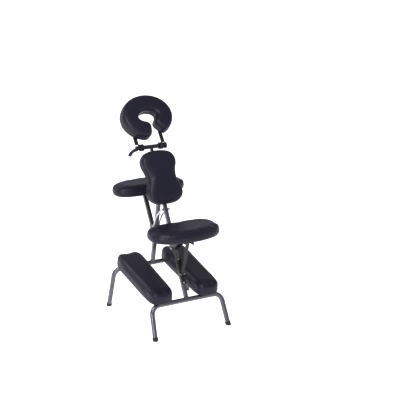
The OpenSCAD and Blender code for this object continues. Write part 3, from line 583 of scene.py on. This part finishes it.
def makeCushion(node, s):
    slab = readSlab(node, Vector(s["toward"]))
    board = readSlab(s["board"], Vector(s["toward"]))
    place, high = slab["place"], slab["thick"]
    back = place.inverted()
    under = (back @ board["place"].translation).z - 0.0009  # the cover's lip lies just below the board
    title, *rest = node.replace("_pad", "Cushion").replace("_cushion", "Cushion").split("_")
    title += "".join(word.capitalize() for word in rest)
    outline = softened(insetLoop(evenLoop(slab["loop"], 360), s["side"]), 12)
    top = high - s["top"]
    obj = newObject(title, loft(title, [(outline, under), (outline, top)], place))
    remesh(obj, 0.004)
    rollEdges(obj.data, place, outline, under, top, s["round"], s["foot"])
    remesh(obj, 0.005)
    shift = back @ board["place"]
    window = [tuple((shift @ Vector((x, y, 0)))[:2])
              for x, y in insetLoop(evenLoop(board["loop"], 120), 0.013)]
    held = []
    for vert in obj.data.vertices:  # the underside shows the bare board inside the turned-in cover
        p = back @ vert.co
        bare = p.z < under + 0.003 and isInside(p.x, p.y, window)
        if bare:
            vert.co = place @ Vector((p.x, p.y, 0.0005))
        held.append(1.0 if bare or p.z < under + 0.004 else (0.5 if p.z < s["low"] else 0.0))
    swell(obj, s["pressure"], s["cap"], held)
    bm = bmesh.new()
    bm.from_mesh(obj.data)
    bm.verts.ensure_lookup_table()
    relax(bm, 8, 0.5, {i for i, h in enumerate(held) if h == 1.0})
    bmesh.ops.recalc_face_normals(bm, faces=bm.faces)
    obj.data = meshFrom(title, bm)
    mod = obj.modifiers.new("fine", "SUBSURF")
    mod.levels = mod.render_levels = 1
    settle(obj)
    obj.data.materials.clear()
    obj.data.materials.append(finishes["upholstery"])
    for face in obj.data.polygons:
        face.use_smooth = True
    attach(obj, bodyOf[node])
    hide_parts(node)
    seamPiece(title, obj, bodyOf[node], outline, place, s)
    staplePiece(title, bodyOf[node], board, back, place, under)
    print("cushion", title, len(obj.data.polygons), "faces")
    return obj


def seamPiece(title, obj, body, outline, place, s):
    # a thin welt where the top cover meets the border, with a row of stitches above it
    tree = BVHTree.FromPolygons([v.co for v in obj.data.vertices], [p.vertices for p in obj.data.polygons])
    turn = place.to_3x3()
    rows = []
    for height in (s["low"], s["low"] + 0.0042):
        path = []
        wide = insetLoop(outline, -0.03)
        for (x, y), (wx, wy) in list(zip(outline, wide))[::3]:
            start = place @ Vector((wx, wy, height))
            aim = turn @ Vector((x - wx, y - wy, 0)).normalized()
            spot, face, _, _ = tree.ray_cast(start, aim, 0.06)
            if spot:
                path.append(spot)
        rows.append(path)
    cordAlong(title + "Welt", body, [rows[0]], True, 0.0011, finishes["upholstery"])
    beads(title + "Stitches", body, [rows[1]], True, thread,
          (0.0055, 0.0038, 0.0008, 0.0008, 0.12))


def staplePiece(title, body, board, back, place, under):
    # staples that hold the cover to the board
    shift = back @ board["place"]
    line = [place @ Vector((*(shift @ Vector((x, y, 0)))[:2], under - 0.0002))
            for x, y in insetLoop(evenLoop(board["loop"], 160), 0.007)]
    beads(title + "Staples", body, [line], True, finishes["zinc"],
          (0.024, 0.0100, 0.0009, 0.0009, 0.06))


for node, settings in cushions.items():
    makeCushion(node, settings)


# ---- hard parts, with their edges eased ----

edgeEase = {
    "seat_board": 0.0012, "armrest_board": 0.0012, "chest_board": 0.0012, "cradle_board": 0.0015,
    "knee_board_left": 0.0012, "knee_board_right": 0.0012,
    "arm_fork": 0.0004, "armrest_bracket": 0.0005, "seat_bracket": 0.0005, "fold_hinge_ears": 0.0005,
    "chest_plate": 0.0006, "chest_sleeve": 0.0005, "stay_link_left": 0.0005, "stay_link_right": 0.0005,
    "seat_rack": 0.0005, "cradle_arm_left": 0.0015, "cradle_arm_right": 0.0015, "clamp_lever": 0.0028,
    "cradle_end_knob": 0.0010, "stem_knob": 0.0012, "chest_knob": 0.0012, "column_collar": 0.0008,
    "knee_clamp_left": 0.0010, "knee_clamp_right": 0.0010, "seat_bumpers": 0.0012,
    "rear_foot_left": 0.0014, "rear_foot_right": 0.0014,
    "front_foot_left": 0.0014, "front_foot_right": 0.0014,
    "cradle_rod": 0.0010, "cradle_bar": 0.0006, "link_top_bolt": 0.0004, "seat_hinge_bolt": 0.0004,
    "fold_hinge_bolt": 0.0004, "arm_pivot_bolt": 0.0004,
    "armrest_hinge_bolt": 0.0004, "link_foot_bolts": 0.0004,
}


def easedCopy(node, width):
    words = node.split("_")
    title = words[0] + "".join(w.capitalize() for w in words[1:])
    bm = bmesh.new()
    bm.from_mesh(nodes[node].data)
    bmesh.ops.remove_doubles(bm, verts=bm.verts, dist=2e-6)
    bmesh.ops.dissolve_limit(bm, angle_limit=math.radians(0.4), verts=bm.verts, edges=bm.edges)
    obj = newObject(title, meshFrom(title, bm))
    mod = obj.modifiers.new("ease", "BEVEL")
    mod.width, mod.segments, mod.limit_method = width, 2, "ANGLE"
    mod.angle_limit = math.radians(38)
    mod.use_clamp_overlap = True
    settle(obj)
    smoothByAngle(obj.data, 32)
    return obj


def paint(obj, material):
    obj.data.materials.clear()
    obj.data.materials.append(material)


boardPale = {"cradle_board": 1.25}
for node, width in edgeEase.items():
    piece = easedCopy(node, width)
    if slotOf[node] == "plywood":
        toward = Vector((0, -1, 0.2)) if node in ("chest_board", "cradle_board") else Vector((0, 0, 1))
        normal = readSlab(node, toward)["normal"]
        paint(piece, plywoodFinish(piece.name + "Ply", normal, boardPale.get(node, 1.0)))
    else:
        paint(piece, finishes[slotOf[node]])
    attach(piece, bodyOf[node])
    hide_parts(node)
print("hard parts eased")

for node, obj in nodes.items():  # the rest keep their own shape
    if not obj.hide_render:
        material = finishes[slotOf[node]]
        if not obj.material_slots:
            obj.data.materials.append(material)
        for slot in obj.material_slots:
            slot.material = material

# ---- welds ----

barRadius = 0.014
weld = {"bar": barRadius, "proud": 0.0006, "sizes": (0.0017, 0.0040, 0.0042, 0.0030, 0.12)}


def weldRound(name, body, at, axis, half):
    # the bead that closes a square tube onto a round crossbar along X; at is the bar's centre
    axis = axis.normalized()
    side = axis.cross(Vector((1, 0, 0)))
    reach = half + weld["proud"]
    corners = [(1, 1), (-1, 1), (-1, -1), (1, -1)]
    path = []
    for (ax, ay), (bx, by) in zip(corners, corners[1:] + corners[:1]):
        for step in range(8):
            x, v = (ax + (bx - ax) * step / 8) * reach, (ay + (by - ay) * step / 8) * reach
            w = math.sqrt(max((weld["bar"] + weld["proud"]) ** 2 - v ** 2, 0.0))
            path.append(at + Vector((x, 0, 0)) + side * v + axis * w)
    beads(name, body, [path], True, finishes["painted_frame"], weld["sizes"])


rear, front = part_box("rear_leg_frame"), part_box("front_leg_frame")
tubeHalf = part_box("main_column")[1].x
rearBar = Vector((0, rear[1].y - weld["bar"], rear[1].z - weld["bar"]))
frontBar = Vector((0, front[0].y + weld["bar"], front[1].z - weld["bar"]))
foldAt = Vector((0, joints["fold"]["pos_m"][1], joints["fold"]["pos_m"][2]))
weldRound("columnWeld", "column", rearBar, Vector(joints["chest_slide"]["axis"]), tubeHalf)
weldRound("strutWeld", "front_frame", frontBar, foldAt - frontBar, tubeHalf)
print("welds done")

# ---- floor, lights, camera ----

studio = {
    "floor": (0.90, 0.90, 0.91), "glow": 0.85, "sky": (0.88, 0.89, 1.0), "world": 0.7,
    "key": {"at": (-2.2, -2.4, 4.2), "size": 1.6, "power": 170.0},
    "side": {"at": (-3.6, -2.8, 1.5), "size": 1.2, "power": 95.0},
    "fill": {"at": (3.6, -3.4, 1.8), "size": 1.6, "power": 12.0},
    "rim": {"at": (-2.6, 3.2, 3.0), "size": 1.6, "power": 50.0},
}


def areaLight(name, at, size, power, target):
    data = bpy.data.lights.new(name, "AREA")
    data.shape, data.size, data.energy = "DISK", size, power
    obj = bpy.data.objects.new(name, data)
    scene.collection.objects.link(obj)
    obj.location = at
    obj.rotation_euler = (Vector(target) - Vector(at)).to_track_quat("-Z", "Y").to_euler()


def makeStudio(s):
    bm = bmesh.new()
    bmesh.ops.create_circle(bm, cap_ends=True, radius=40.0, segments=96)
    floor = newObject("studioFloor", meshFrom("studioFloor", bm))
    floor.location.z = -0.0002
    f = Finish("paleFloor")
    soft = f.cloudy(f.place(), 3.0, 2.0)
    pale = f.between(soft, rgb(*s["floor"]), rgb(*[c * 1.02 for c in s["floor"]]))
    paint(floor, f.give(color=pale, roughness=0.8, specular=0.1))
    f.shader.inputs["Emission Color"].default_value = (1, 1, 1, 1)
    f.shader.inputs["Emission Strength"].default_value = s["glow"]
    world = bpy.data.worlds.new("studioWorld")
    scene.world = world
    world.use_nodes = True
    world.node_tree.nodes["Background"].inputs[0].default_value = rgb(*s["sky"])
    world.node_tree.nodes["Background"].inputs[1].default_value = s["world"]
    for name in ("key", "side", "fill", "rim"):
        areaLight(name + "Light", s[name]["at"], s[name]["size"], s[name]["power"], (0, 0, 0.6))


def makeCamera():
    rearBar = rear[1].y - barRadius
    turn, lift = math.radians(-28.3), math.radians(16.32)
    back = Vector((math.sin(turn) * math.cos(lift), -math.cos(turn) * math.cos(lift), math.sin(lift)))
    right = Vector((math.cos(turn), math.sin(turn), 0))
    up = back.cross(right)
    data = bpy.data.cameras.new("camera")
    data.lens, data.sensor_width = 81.0, 36.0
    data.clip_end = 100.0
    obj = bpy.data.objects.new("camera", data)
    scene.collection.objects.link(obj)
    spot = Vector((0, 0.100 + rearBar, 0.600)) + back * 5.0394 + right * 0.12298 + up * 0.12664
    obj.matrix_world = Matrix.Translation(spot) @ Matrix((right, up, back)).transposed().to_4x4()
    scene.camera = obj


makeStudio(studio)
makeCamera()
scene.view_settings.view_transform = "Standard"
print("studio and camera set")
